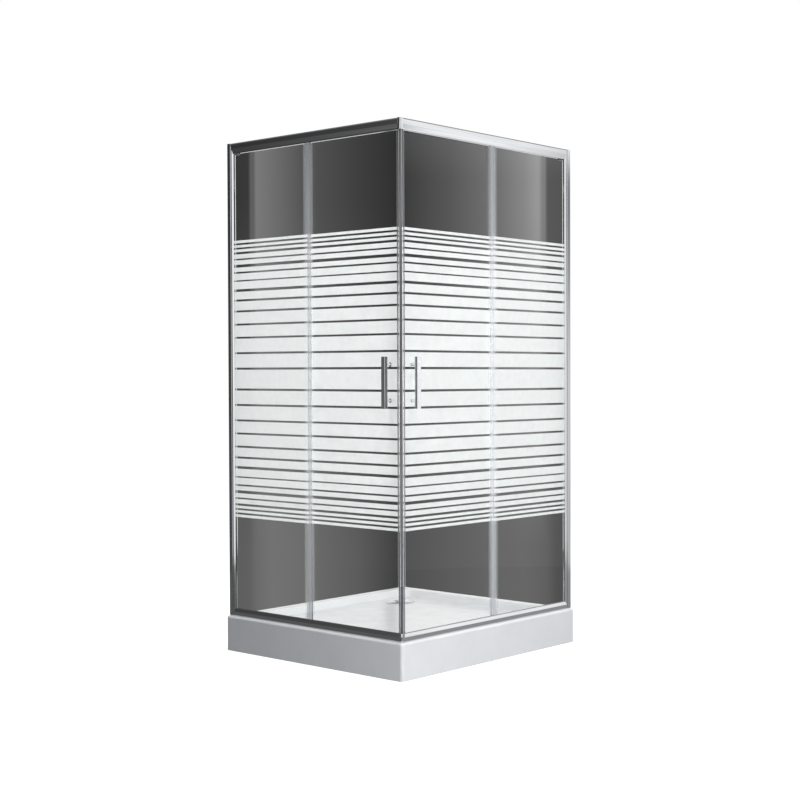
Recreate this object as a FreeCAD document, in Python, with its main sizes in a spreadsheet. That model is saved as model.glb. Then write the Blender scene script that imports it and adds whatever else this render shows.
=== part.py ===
# Shower enclosure for a corner: a square tray and two glass sides that slide open where they meet.
# Row frame: origin on the floor under the tray's centre, +Z up, millimetres.
# The entry corner is at +X -Y and the walls of the room are at -X and +Y.
# The side along -Y is the left one as seen from outside the entry. Its pieces are modelled,
# and the right side along +X is their mirror image in the upright plane through the entry corner.
import FreeCAD, Part
import math
import os
import Sketcher
from types import SimpleNamespace

sizes = {
    # whole enclosure
    "tray_side": 1000,
    "tray_height": 140,
    "frame_height": 1900,
    "frame_setback": 17.5,
    # tray shell
    "shell_wall": 5,
    "shell_top": 6,
    "shell_corner_radius": 12,
    "shell_edge_radius": 10,
    "floor_thickness": 8,
    "basin_depth": 28,
    "basin_rim_front": 67,
    "basin_rim_wall": 50,
    "basin_corner_radius": 60,
    "basin_slope_run": 24,
    "wall_flange_height": 45,
    "apron_return": 30,
    # board and feet under the tray
    "board_inset": 110,
    "board_thickness": 20,
    "board_waste_radius": 66,
    "foot_inset": 160,
    "stud_radius": 5,
    "stud_fit": 0.05,
    "stud_in_board": 14,
    "stud_in_pad": 6,
    "nut_width": 17,
    "nut_height": 8,
    "pad_radius": 26,
    "pad_height": 11,
    # waste
    "waste_from_left_wall": 186,
    "waste_from_right_wall": 204,
    "waste_hole_radius": 45,
    "waste_recess_radius": 63,
    "waste_recess_depth": 4,
    "flange_radius": 55,
    "flange_thickness": 2.5,
    "neck_radius": 43,
    "neck_wall": 4,
    "neck_length": 22,
    "neck_fit": 0.3,
    "gasket_radius": 54,
    "gasket_thickness": 2,
    "trap_radius": 50,
    "trap_wall": 4,
    "trap_height": 68,
    "trap_collar_height": 6,
    "outlet_radius": 20,
    "outlet_wall": 2,
    "outlet_length": 92,
    "outlet_drop": 45,
    "spigot_length": 60,
    "shoulder_height": 3,
    "cover_radius": 58,
    "cover_rim": 2,
    "cover_rise": 5,
    "cover_spigot_depth": 9,
    "cover_spigot_wall": 2,
    # glass and its print
    "glass_thickness": 6,
    "fixed_glass_depth": 8,
    "door_glass_depth": 21,
    "fixed_edge_reach": 487,
    "pane_overlap": 42,
    "print_thickness": 0.2,
    "print_low": 399,
    "print_height": 1110,
    "print_margin": 0.3,
    # top rail section
    "rail_depth": 46,
    "rail_wall": 2,
    "top_rail_height": 42,
    "crown_height": 5,
    "crown_depth": 4,
    "top_face_height": 17,
    "skirt_depth": 3,
    "top_lip_height": 4,
    "top_lip_thickness": 3,
    "top_web_drop": 30,
    "track_drop": 34,
    "track_start": 31,
    "bead_height": 1.5,
    "bead_base": 3,
    "bead_top": 1,
    "top_glass_drop": 12,
    # bottom rail section
    "bottom_rail_height": 31,
    "bottom_face_height": 16,
    "bottom_slope_depth": 6,
    "bottom_lip_height": 3,
    "bottom_web_height": 20,
    "bottom_seat_height": 8,
    "bottom_seat_start": 9,
    "sill_height": 20,
    "lower_track_height": 8.7,
    "lower_track_start": 30,
    # wall profile and fixed frame post
    "channel_width": 18,
    "channel_depth": 30,
    "channel_wall": 1.5,
    "wall_hole_radius": 2.5,
    "wall_hole_inset": 100,
    "post_start": 7,
    "post_width": 24,
    "post_fit": 0.3,
    "post_wall": 2,
    "post_nose": 6,
    "post_nose_depth": 5,
    "post_lip": 3,
    "post_groove": 10,
    # corner blocks, tongues and screws
    "block_side": 14,
    "block_radius": 5,
    "tongue_length": 46,
    "tongue_fit": 0.3,
    "tongue_height": 14,
    "screw_radius": 1.95,
    "screw_fit": 0.05,
    "screw_head_radius": 3.5,
    "screw_head_height": 1.6,
    "screw_bite": 9,
    "corner_screw_first": 16,
    "corner_screw_spacing": 20,
    "post_screw_inset": 150,
    "post_screw_bite": 8,
    # seals
    "seal_wall": 1.4,
    "seal_leg": 16,
    "seal_fin": 20,
    "seal_fin_wall": 0.8,
    "seal_fin_rise": 1.2,
    "wiper_reach": 1.5,
    "wiper_gap": 0.5,
    "seal_end_gap": 0.5,
    "magnet_width": 6,
    "magnet_gap": 0.4,
    "leading_glass_gap": 35,
    "leading_seal_leg": 5,
    # sliding doors, rollers and stops
    "tail_clearance": 7,
    "door_glass_drop": 8,
    "door_glass_rise": 6,
    "roller_inset": 60,
    "top_roller_radius": 11,
    "top_roller_width": 7,
    "bottom_roller_radius": 8,
    "bottom_roller_width": 6,
    "roller_gap": 0.3,
    "roller_edge": 0.5,
    "axle_fit": 0.05,
    "top_axle_radius": 3,
    "bottom_axle_radius": 2.5,
    "bolt_hole_radius": 5,
    "bolt_fit": 0.3,
    "bolt_head_radius": 7,
    "bolt_head_thickness": 2.2,
    "bolt_boss_radius": 6.5,
    "bolt_boss_length": 5.5,
    "bolt_end_radius": 4.5,
    "bolt_end_thickness": 1,
    "stop_length": 12,
    "stop_height": 16,
    "stop_gap": 0.5,
    # handles
    "handle_height": 942,
    "handle_spacing": 132,
    "handle_length": 190,
    "handle_width": 20,
    "handle_thickness": 15,
    "handle_edge_radius": 1.5,
    "handle_standoff": 30.5,
    "handle_from_corner": 93.5,
    "handle_post_radius": 5,
    "handle_rose_radius": 8,
    "handle_rose_thickness": 2,
    "handle_bolt_radius": 3,
    "handle_bolt_bite": 12,
    "handle_cap_thickness": 4,
    "handle_cap_edge": 1,
}

# heights of the printed bands and the clear gaps between them, from the middle band's centre outwards
print_shares = (
    37.5, 8.7, 54, 8.3, 54, 7.8, 45, 8, 45, 8.2, 35.5, 8.5, 30.5, 10.5, 30.5,
    5.7, 26.5, 7.1, 17.5, 11.6, 17.5, 6.5, 17.5, 9, 10.5, 7.4, 10, 7.7, 10.5,
)
# places of the feet along X and Y, as shares of the outermost reach, clear of the waste near the back corner
foot_shares = ((1, -1), (-1, -1), (1, 1), (-1, 0.2), (-0.2, 1), (0, 0))
# height of the lower tongue's screws, above the seat that the glass stands on
low_screw_share = 0.75


# a length that keeps its spreadsheet expression beside its value
class Length:
    def __init__(self, value, text):
        self.value = value
        self.text = text

    def joined(self, other, sign, value):
        return Length(value, "(" + self.text + sign + text_of(other) + ")")

    def __add__(self, other):
        return self.joined(other, " + ", self.value + value_of(other))

    def __sub__(self, other):
        return self.joined(other, " - ", self.value - value_of(other))

    def __mul__(self, share):
        return self.joined(share, " * ", self.value * share)

    def __truediv__(self, share):
        return self.joined(share, " / ", self.value / share)

    # this length times one length over another
    def by_ratio(self, part, whole):
        text = "(" + self.text + " * " + part.text + " / " + whole.text + ")"
        return Length(self.value * part.value / whole.value, text)

    def __neg__(self):
        return Length(-self.value, "(0 - " + self.text + ")")


def value_of(length):
    return length.value if isinstance(length, Length) else float(length)


def text_of(length):
    return length.text if isinstance(length, Length) else repr(length)


document = FreeCAD.newDocument("ShowerEnclosure")
sheet = document.addObject("Spreadsheet::Sheet", "Sizes")
for row, (alias, number) in enumerate(sizes.items(), start=1):
    sheet.set("A" + str(row), alias)
    sheet.set("B" + str(row), str(number))
    sheet.setAlias("B" + str(row), alias)
document.recompute()
named = SimpleNamespace(**{alias: Length(number, "Sizes." + alias) for alias, number in sizes.items()})

kept = []
zero = Length(0.0, "0")


def keep(thing, label):
    thing.Label = label
    kept.append(thing)
    return thing


def bind(thing, path, length):
    thing.setExpression(path, text_of(length))


def place(thing, x, y, z, rotation=None):
    if rotation is not None:
        thing.Placement = FreeCAD.Placement(FreeCAD.Vector(), rotation)
    for axis, length in zip("xyz", (x, y, z)):
        bind(thing, "Placement.Base." + axis, length)


def new_body(name, x=zero, y=zero, z=zero, rotation=None):
    body = document.addObject("PartDesign::Body", name)
    place(body, x, y, z, rotation)
    return body


def new_sketch(body, plane, start=zero):
    sketch = body.newObject("Sketcher::SketchObject", body.Name + "Sketch")
    role = [feature for feature in body.Origin.OriginFeatures if feature.Role == plane][0]
    sketch.AttachmentSupport = [(role, "")]
    sketch.MapMode = "FlatFace"
    # the XZ plane's normal points along -Y
    bind(sketch, "AttachmentOffset.Base.z", -start if plane == "XZ_Plane" else start)
    return sketch


def pin_length(sketch, kind, curve, end, length):
    index = sketch.addConstraint(Sketcher.Constraint(kind, -1, 1, curve, end, value_of(length)))
    bind(sketch, "Constraints[" + str(index) + "]", length)


def pin_point(sketch, curve, end, u, v):
    pin_length(sketch, "DistanceX", curve, end, u)
    pin_length(sketch, "DistanceY", curve, end, v)


def vector(u, v):
    return FreeCAD.Vector(value_of(u), value_of(v), 0)


def direction(start, end):
    step = vector(*end[:2]) - vector(*start[:2])
    return step.normalize()


# a closed outline of (u, v) points; a point (u, v, radius) between axis-parallel sides is rounded
def add_outline(sketch, points):
    count = len(points)
    corners = []
    for index, point in enumerate(points):
        if len(point) == 2:
            corners.append((point, point, None, None))
            continue
        u, v, radius = point
        came = direction(points[index - 1], point)
        goes = direction(point, points[(index + 1) % count])
        first = (u - radius * round(came.x), v - radius * round(came.y))
        last = (u + radius * round(goes.x), v + radius * round(goes.y))
        centre = (first[0] + radius * round(goes.x), first[1] + radius * round(goes.y))
        corners.append((first, last, centre, came.x * goes.y - came.y * goes.x > 0))
    for index, corner in enumerate(corners):
        after = corners[(index + 1) % count]
        line = sketch.addGeometry(Part.LineSegment(vector(*corner[1]), vector(*after[0])), False)
        pin_point(sketch, line, 1, *corner[1])
        pin_point(sketch, line, 2, *after[0])
    for first, last, centre, turns_left in corners:
        if centre is None:
            continue
        ends = (first, last) if turns_left else (last, first)
        steps = [vector(*point) - vector(*centre) for point in ends]
        angles = [math.atan2(step.y, step.x) for step in steps]
        if angles[1] < angles[0]:
            angles[1] += 2 * math.pi
        circle = Part.Circle(vector(*centre), FreeCAD.Vector(0, 0, 1), steps[0].Length)
        arc = sketch.addGeometry(Part.ArcOfCircle(circle, *angles), False)
        pin_point(sketch, arc, 3, *centre)
        pin_point(sketch, arc, 2, *ends[1])
        # of the arc's start only the coordinate along the curve is free
        if abs(steps[0].x) > abs(steps[0].y):
            pin_length(sketch, "DistanceY", arc, 1, ends[0][1])
        else:
            pin_length(sketch, "DistanceX", arc, 1, ends[0][0])


def add_circle(sketch, u, v, radius):
    circle = Part.Circle(vector(u, v), FreeCAD.Vector(0, 0, 1), value_of(radius))
    curve = sketch.addGeometry(circle, False)
    pin_point(sketch, curve, 3, u, v)
    index = sketch.addConstraint(Sketcher.Constraint("Radius", curve, value_of(radius)))
    bind(sketch, "Constraints[" + str(index) + "]", radius)


# a pad or pocket that runs from start along the plane's positive axis
def run_feature(body, kind, plane, sketch, length):
    feature = body.newObject("PartDesign::" + kind, body.Name + kind)
    feature.Profile = sketch
    bind(feature, "Length", length)
    feature.Reversed = (kind == "Pad") == (plane == "XZ_Plane")
    document.recompute()
    return feature


def pad(body, plane, start, end, *outlines):
    sketch = new_sketch(body, plane, start)
    for points in outlines:
        add_outline(sketch, points)
    return run_feature(body, "Pad", plane, sketch, end - start)


def cut(body, plane, start, end, *outlines):
    before = body.Shape.Volume
    sketch = new_sketch(body, plane, start)
    for points in outlines:
        add_outline(sketch, points)
    feature = run_feature(body, "Pocket", plane, sketch, end - start)
    if body.Shape.Volume >= before:
        raise RuntimeError(feature.Label + " cuts nothing")
    return feature


def drill(body, plane, start, end, centres, radius):
    before = body.Shape.Volume
    sketch = new_sketch(body, plane, start)
    for u, v in centres:
        add_circle(sketch, u, v, radius)
    feature = run_feature(body, "Pocket", plane, sketch, end - start)
    if body.Shape.Volume >= before:
        raise RuntimeError(feature.Label + " drills nothing")
    return feature


# a round piece about its own Z axis, from a half section of (radius, height) points
def turn(body, points):
    sketch = new_sketch(body, "XZ_Plane")
    add_outline(sketch, points)
    feature = body.newObject("PartDesign::Revolution", body.Name + "Revolution")
    feature.Profile = sketch
    feature.ReferenceAxis = (sketch, ["V_Axis"])
    feature.Angle = 360
    document.recompute()
    return feature


def rectangle(u_low, v_low, u_high, v_high):
    return [(u_low, v_low), (u_high, v_low), (u_high, v_high), (u_low, v_high)]


def rounded(u_low, v_low, u_high, v_high, radius):
    return [(u, v, radius) for u, v in rectangle(u_low, v_low, u_high, v_high)]


def group(name, members):
    together = document.addObject("Part::Compound", name)
    together.Links = members
    return together


def mirrored(source, name):
    mirror = document.addObject("Part::Mirroring", name)
    mirror.Source = source
    mirror.Normal = FreeCAD.Vector(1, 1, 0)
    return mirror


# keeps a left-hand piece and its mirror image on the right
def keep_pair(source, name):
    keep(source, "left_" + name)
    keep(mirrored(source, "Right" + source.Name), "right_" + name)


# keeps one node that holds a left-hand group and its mirror image
def keep_both(source, name):
    document.recompute()
    both = group("Both" + source.Name, [source, mirrored(source, "Right" + source.Name)])
    keep(both, name)


# places that several pieces share
half_side = named.tray_side / 2
frame_face = half_side - named.frame_setback
run = named.tray_side - named.frame_setback
top = named.frame_height
fixed_in = named.fixed_glass_depth + named.glass_thickness
door_in = named.door_glass_depth + named.glass_thickness
web_far = fixed_in + named.rail_wall
post_end = named.post_start + named.post_width
door_tail = named.fixed_edge_reach - named.pane_overlap
floor_top = named.tray_height - named.basin_depth
floor_under = floor_top - named.floor_thickness
waste_x = -half_side + named.waste_from_left_wall
waste_y = half_side - named.waste_from_right_wall

# turns a round piece's axis from +Z to +Y, into the cabin
inward = FreeCAD.Rotation(FreeCAD.Vector(1, 0, 0), -90)
quarter_turn = FreeCAD.Rotation(FreeCAD.Vector(0, 0, 1), 90)


# Side pieces have local axes: x from the wall towards the entry corner, y from the frame's
# outer face into the cabin, z up from the tray's rim.
def side_body(name):
    return new_body(name, -half_side, -frame_face, named.tray_height)


def side_round(name, x, y, z):
    return new_body(name, x - half_side, y - frame_face, z + named.tray_height, inward)


def make_tray():
    tray = new_body("Tray")
    low = -half_side
    block = pad(tray, "XY_Plane", zero, named.tray_height,
                rounded(low, low, half_side, half_side, named.shell_corner_radius))
    top_edges = []
    for index, edge in enumerate(block.Shape.Edges, start=1):
        if abs(edge.BoundBox.ZMin - value_of(named.tray_height)) < 1e-3:
            top_edges.append("Edge" + str(index))
    fillet = tray.newObject("PartDesign::Fillet", "TrayEdge")
    fillet.Base = (block, top_edges)
    bind(fillet, "Radius", named.shell_edge_radius)
    document.recompute()

    # basin: a loft from the floor's outline up to the rim's
    before = tray.Shape.Volume
    slope = named.basin_slope_run
    outlines = []
    for height, inset in ((floor_top, slope), (named.tray_height, zero)):
        sketch = new_sketch(tray, "XY_Plane", height)
        x_low = low + named.basin_rim_wall + inset
        x_high = half_side - named.basin_rim_front - inset
        add_outline(sketch, rounded(x_low, -x_high, x_high, -x_low, named.basin_corner_radius - inset / 2))
        outlines.append(sketch)
    basin = tray.newObject("PartDesign::SubtractiveLoft", "TrayBasin")
    basin.Profile = outlines[0]
    basin.Sections = [outlines[1]]
    basin.Ruled = True
    document.recompute()
    if tray.Shape.Volume >= before:
        raise RuntimeError("the basin cuts nothing")

    inner = half_side - named.shell_wall
    cut(tray, "XY_Plane", zero, floor_under, rectangle(-inner, -inner, inner, inner))
    rim_x = low + named.basin_rim_wall - named.shell_wall
    rim_far = half_side - named.basin_rim_front + named.shell_wall
    cut(tray, "XY_Plane", floor_under, named.tray_height - named.shell_top,
        rectangle(-inner, -inner, inner, inner),
        rounded(rim_x, -rim_far, rim_far, -rim_x, named.basin_corner_radius))

    # the two wall sides keep only a short flange below the rim
    flange_low = named.tray_height - named.wall_flange_height
    apron_end = half_side - named.apron_return
    cut(tray, "XY_Plane", zero, flange_low, rectangle(low, -apron_end, -inner, half_side))
    cut(tray, "XY_Plane", zero, flange_low, rectangle(-inner, inner, apron_end, half_side))
    drill(tray, "XY_Plane", floor_top - named.waste_recess_depth, floor_top,
          [(waste_x, waste_y)], named.waste_recess_radius)
    drill(tray, "XY_Plane", floor_under, floor_top, [(waste_x, waste_y)], named.waste_hole_radius)
    keep(tray, "tray")


def make_feet():
    board_low = floor_under - named.board_thickness
    half_board = half_side - named.board_inset
    foot_reach = half_side - named.foot_inset
    stud_bore = named.stud_radius + named.stud_fit
    places = [(foot_reach * x, foot_reach * y) for x, y in foot_shares]
    stud_top = board_low + named.stud_in_board

    board = new_body("Board")
    pad(board, "XY_Plane", board_low, floor_under,
        rectangle(-half_board, -half_board, half_board, half_board))
    drill(board, "XY_Plane", board_low, floor_under, [(waste_x, waste_y)], named.board_waste_radius)
    drill(board, "XY_Plane", board_low, stud_top, places, stud_bore)
    keep(board, "tray_base_board")

    studs = []
    nuts = []
    pads = []
    stud_low = named.pad_height - named.stud_in_pad
    half_nut = named.nut_width / 2
    nut_low = board_low - named.nut_height
    for number, (x, y) in enumerate(places):
        stud = new_body("Stud" + str(number), x, y)
        turn(stud, rectangle(zero, stud_low, named.stud_radius, stud_top))
        studs.append(stud)
        foot = new_body("Pad" + str(number), x, y)
        waist = named.pad_height - named.stud_in_pad
        turn(foot, [(zero, zero), (named.pad_radius, zero), (named.pad_radius, waist / 2),
                    (stud_bore * 2, named.pad_height), (stud_bore, named.pad_height),
                    (stud_bore, waist), (zero, waist)])
        pads.append(foot)
        nut = new_body("Nut" + str(number), x, y)
        # a hexagon's corner lies at half its width across flats over the cosine of 30 degrees
        corner = half_nut * (2 / 3 ** 0.5)
        hexagon = [(corner, zero), (corner / 2, half_nut), (-corner / 2, half_nut),
                   (-corner, zero), (-corner / 2, -half_nut), (corner / 2, -half_nut)]
        pad(nut, "XY_Plane", nut_low, board_low, hexagon)
        drill(nut, "XY_Plane", nut_low, board_low, [(zero, zero)], stud_bore)
        nuts.append(nut)
    keep(group("Studs", studs), "tray_leg_studs")
    keep(group("Nuts", nuts), "tray_leg_nuts")
    keep(group("Pads", pads), "tray_leg_pads")


def make_waste():
    seat = floor_top - named.waste_recess_depth
    neck_bore = named.neck_radius - named.neck_wall
    neck_low = seat - named.neck_length
    flange = new_body("WasteFlange", waste_x, waste_y, seat)
    turn(flange, [(neck_bore, -named.neck_length), (named.neck_radius, -named.neck_length),
                  (named.neck_radius, zero), (named.flange_radius, zero),
                  (named.flange_radius, named.flange_thickness), (neck_bore, named.flange_thickness)])
    keep(flange, "waste_flange")

    gasket = new_body("WasteGasket", waste_x, waste_y, floor_under - named.gasket_thickness)
    turn(gasket, rectangle(named.neck_radius + named.neck_fit, zero,
                           named.gasket_radius, named.gasket_thickness))
    keep(gasket, "waste_gasket")

    # trap: a collar under the gasket and a closed cup with a side outlet towards the wall at -X
    collar_top = floor_under - named.gasket_thickness
    collar_low = collar_top - named.trap_collar_height
    trap_low = collar_top - named.trap_height
    collar_bore = named.neck_radius + named.neck_fit
    inside = named.trap_radius - named.trap_wall
    trap = new_body("WasteTrap", waste_x, waste_y)
    turn(trap, [(zero, trap_low), (named.trap_radius, trap_low), (named.trap_radius, collar_low),
                (named.gasket_radius, collar_low), (named.gasket_radius, collar_top),
                (collar_bore, collar_top), (collar_bore, neck_low),
                (inside, neck_low), (inside, trap_low + named.trap_wall), (zero, trap_low + named.trap_wall)])
    outlet_z = collar_top - named.outlet_drop
    outlet_end = -named.trap_radius - named.outlet_length
    shoulder = outlet_end + named.spigot_length
    root = -named.trap_radius + named.trap_wall / 2
    for start, end, radius in ((outlet_end, root, named.outlet_radius),
                               (shoulder, root, named.outlet_radius + named.shoulder_height)):
        sketch = new_sketch(trap, "YZ_Plane", start)
        add_circle(sketch, zero, outlet_z, radius)
        run_feature(trap, "Pad", "YZ_Plane", sketch, end - start)
    drill(trap, "YZ_Plane", outlet_end, -inside + named.trap_wall,
          [(zero, outlet_z)], named.outlet_radius - named.outlet_wall)
    keep(trap, "waste_trap")

    # cover: a shallow dome with a ring that drops into the neck
    cover_low = seat + named.flange_thickness + named.roller_gap
    ring = neck_bore - named.roller_gap
    ring_in = ring - named.cover_spigot_wall
    rise = named.cover_rim + named.cover_rise
    cover = new_body("WasteCover", waste_x, waste_y, cover_low)
    turn(cover, [(ring_in, -named.cover_spigot_depth), (ring, -named.cover_spigot_depth), (ring, zero),
                 (named.cover_radius, zero), (named.cover_radius, named.cover_rim),
                 (named.cover_radius * 0.8, rise - named.cover_rise / 4), (named.cover_radius * 0.4, rise),
                 (zero, rise), (zero, named.cover_rise), (ring_in, named.cover_rim)])
    keep(cover, "waste_cover")


# the wall end of a rail is cut along a slope, from the channel's edge at the outside to the post's
# edge at the inside, and the corner end along the mitre and round the corner block
def cut_rail_ends(rail, outer_z, inner_z, z_low, z_high):
    slope_in = post_end
    slope_out = named.channel_width
    wall_cut = [(zero, inner_z), (slope_in, inner_z), (slope_out, outer_z), (zero, outer_z)]
    cut(rail, "XZ_Plane", -named.rail_wall, named.rail_depth + named.rail_wall, wall_cut)
    mitre = [(run, zero), (run, named.rail_depth), (run - named.rail_depth, named.rail_depth)]
    cut(rail, "XY_Plane", z_low, z_high, mitre)
    cut(rail, "XY_Plane", z_low, z_high, rectangle(run - named.block_side, zero, run, named.block_side))


def corner_screw_places():
    first = run - named.block_side - named.corner_screw_first
    return [first, first - named.corner_screw_spacing]


def make_top_rail():
    rail = side_body("TopRail")
    low = top - named.top_rail_height
    skirt_top = top - named.crown_height - named.top_face_height
    lip_top = low + named.top_lip_height
    wall = named.rail_wall
    track = top - named.track_drop
    bead_middle = (named.track_start + named.rail_depth - wall) / 2 - wall / 2
    half_base = named.bead_base / 2
    half_top = named.bead_top / 2
    section = [
        (named.crown_depth, top), (zero, top - named.crown_height), (zero, skirt_top),
        (named.skirt_depth, lip_top), (named.skirt_depth, low), (named.fixed_glass_depth, low),
        (named.fixed_glass_depth, low + named.top_lip_thickness),
        (named.skirt_depth + wall, low + named.top_lip_thickness),
        (named.skirt_depth + wall, lip_top), (wall, skirt_top), (wall, top - named.crown_height),
        (named.crown_depth + wall / 2, top - wall), (fixed_in, top - wall),
        (fixed_in, top - named.top_web_drop), (web_far, top - named.top_web_drop), (web_far, top - wall),
        (named.rail_depth - wall, top - wall), (named.rail_depth - wall, track),
        (bead_middle + half_base, track), (bead_middle + half_top, track + named.bead_height),
        (bead_middle - half_top, track + named.bead_height), (bead_middle - half_base, track),
        (named.track_start, track), (named.track_start, track - wall),
        (named.rail_depth, track - wall), (named.rail_depth, top),
    ]
    pad(rail, "YZ_Plane", zero, run, section)
    cut_rail_ends(rail, top, low, low, top)
    screw_z = top - named.crown_height - named.tongue_fit - named.tongue_height / 2
    drill(rail, "XZ_Plane", fixed_in, web_far, [(x, screw_z) for x in corner_screw_places()],
          named.screw_radius + named.screw_fit)
    keep_pair(rail, "top_rail")


def make_bottom_rail():
    rail = side_body("BottomRail")
    wall = named.rail_wall
    height = named.bottom_rail_height
    slope_top = height - named.bottom_lip_height
    depth = named.rail_depth
    track = named.lower_track_height
    section = [
        (zero, zero), (depth, zero), (depth, named.sill_height), (depth - wall, named.sill_height),
        (depth - wall, track), (named.lower_track_start, track), (named.lower_track_start, track - wall),
        (depth - wall, track - wall), (depth - wall, wall), (web_far, wall),
        (web_far, named.bottom_web_height), (fixed_in, named.bottom_web_height),
        (fixed_in, named.bottom_seat_height), (named.bottom_seat_start, named.bottom_seat_height),
        (named.bottom_seat_start, named.bottom_seat_height - wall),
        (fixed_in, named.bottom_seat_height - wall), (fixed_in, wall), (wall, wall),
        (wall, named.bottom_face_height), (named.fixed_glass_depth, slope_top - wall / 2),
        (named.fixed_glass_depth, height), (named.bottom_slope_depth, height),
        (named.bottom_slope_depth, slope_top), (zero, named.bottom_face_height),
    ]
    pad(rail, "YZ_Plane", zero, run, section)
    cut_rail_ends(rail, zero, height, zero, height)
    screw_z = wall + named.tongue_fit + named.tongue_height * low_screw_share
    drill(rail, "XZ_Plane", fixed_in, web_far, [(x, screw_z) for x in corner_screw_places()],
          named.screw_radius + named.screw_fit)
    keep_pair(rail, "bottom_rail")


# closes the cabin side of a rail's wall end, against the wall and beside the channel
def make_end_caps():
    start = named.channel_depth + named.tongue_fit
    slope = post_end - named.channel_width
    low = top - named.top_rail_height
    cap = side_body("TopEndCap")
    pad(cap, "XZ_Plane", start, named.rail_depth,
        [(zero, low), (post_end, low), (named.channel_width, top), (zero, top)])
    keep_pair(cap, "top_end_cap")

    sill = named.sill_height
    reach = named.channel_width + slope.by_ratio(sill, named.bottom_rail_height)
    cap = side_body("BottomEndCap")
    pad(cap, "XZ_Plane", start, named.rail_depth,
        [(zero, zero), (named.channel_width, zero), (reach, sill), (zero, sill)])
    keep_pair(cap, "bottom_end_cap")


def wall_hole_heights():
    # four holes evenly spaced between the two insets
    step = (top - named.wall_hole_inset * 2) / 3
    return [named.wall_hole_inset + step * index for index in range(4)]


def post_screw_heights():
    return [named.post_screw_inset, top / 2, top - named.post_screw_inset]


def make_wall_profile():
    profile = side_body("WallProfile")
    wall = named.channel_wall
    width = named.channel_width
    depth = named.channel_depth
    pad(profile, "XY_Plane", zero, top,
        [(zero, zero), (width, zero), (width, wall), (wall, wall), (wall, depth - wall),
         (width, depth - wall), (width, depth), (zero, depth)])
    drill(profile, "YZ_Plane", zero, wall, [(depth / 2, z) for z in wall_hole_heights()],
          named.wall_hole_radius)
    screw_x = (named.post_start + named.channel_width) / 2
    drill(profile, "XZ_Plane", depth - wall, depth, [(screw_x, z) for z in post_screw_heights()],
          named.screw_radius + named.screw_fit)
    keep_pair(profile, "wall_profile")


def make_frame_post():
    post = side_body("FramePost")
    wall = named.post_wall
    front = named.channel_wall + named.post_fit
    back = named.channel_depth - named.channel_wall - named.post_fit
    start = named.post_start
    groove = post_end - named.post_groove
    lip_out = named.fixed_glass_depth
    section = [
        (start, front), (post_end - named.post_nose, front), (post_end, front + named.post_nose_depth),
        (post_end, lip_out), (groove, lip_out), (groove, fixed_in), (post_end, fixed_in),
        (post_end, fixed_in + named.post_lip), (groove, back), (start, back),
    ]
    hollow = rectangle(start + wall, front + wall, groove - wall, back - wall)
    pad(post, "XY_Plane", zero, top, section, hollow)
    low = top - named.top_rail_height
    width = named.channel_width
    overrun = named.rail_wall
    cut(post, "XZ_Plane", zero, named.rail_depth,
        [(width, top), (post_end, low), (post_end + overrun, low), (post_end + overrun, top)])
    height = named.bottom_rail_height
    cut(post, "XZ_Plane", zero, named.rail_depth,
        [(width, zero), (post_end + overrun, zero), (post_end + overrun, height), (post_end, height)])
    screw_x = (start + named.channel_width) / 2
    drill(post, "XZ_Plane", back - wall, back, [(screw_x, z) for z in post_screw_heights()],
          named.screw_radius + named.screw_fit)
    keep_pair(post, "frame_post")


# a pan-head screw whose head lies on a face at seat and whose shank runs back out by grip
def make_screw(name, x, seat, z, grip):
    screw = side_round(name, x, seat, z)
    turn(screw, [(zero, -grip), (named.screw_radius, -grip), (named.screw_radius, zero),
                 (named.screw_head_radius, zero), (named.screw_head_radius, named.screw_head_height / 2),
                 (named.screw_radius, named.screw_head_height), (zero, named.screw_head_height)])
    return screw


def make_screws():
    screw_x = (named.post_start + named.channel_width) / 2
    posts = []
    for number, z in enumerate(post_screw_heights()):
        posts.append(make_screw("PostScrew" + str(number), screw_x, named.channel_depth, z,
                                named.post_screw_bite))
    keep_both(group("PostScrews", posts), "post_screws")

    tongue_top = top - named.crown_height - named.tongue_fit
    levels = (
        (tongue_top - named.tongue_height / 2, named.rail_wall + named.tongue_fit + named.screw_bite),
        (named.rail_wall + named.tongue_fit + named.tongue_height * low_screw_share,
         web_far - named.bottom_seat_start + named.tongue_fit + named.screw_bite / 2),
    )
    corners = []
    for level, (z, grip) in enumerate(levels):
        for number, x in enumerate(corner_screw_places()):
            corners.append(make_screw("CornerScrew" + str(level) + str(number), x, web_far, z, grip))
    keep_both(group("CornerScrews", corners), "corner_screws")


# Corner blocks have local axes: x into the cabin from the left side's face, y into it from the
# right side's face, so the two tongues are alike and the screws of one run along x, of the other along y.
def make_corner_block(name, label, z_low, z_high, tongue_far, tongue_low, tongue_height, screw_z, bite):
    block = new_body(name, frame_face, -frame_face, named.tray_height, quarter_turn)
    side = named.block_side
    pad(block, "XY_Plane", z_low, z_high,
        [(zero, zero, named.block_radius), (side, zero), (side, side), (zero, side)])
    near = named.rail_wall + named.tongue_fit
    end = side + named.tongue_length
    tongue_high = tongue_low + tongue_height
    pad(block, "XY_Plane", tongue_low, tongue_high, rectangle(near, side / 2, tongue_far, end))
    pad(block, "XY_Plane", tongue_low, tongue_high, rectangle(side / 2, near, end, tongue_far))
    hole = named.screw_radius + named.screw_fit
    places = [side + named.corner_screw_first, side + named.corner_screw_first + named.corner_screw_spacing]
    for plane in ("YZ_Plane", "XZ_Plane"):
        drill(block, plane, tongue_far - bite, tongue_far, [(y, screw_z) for y in places], hole)
    keep(block, label)


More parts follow.
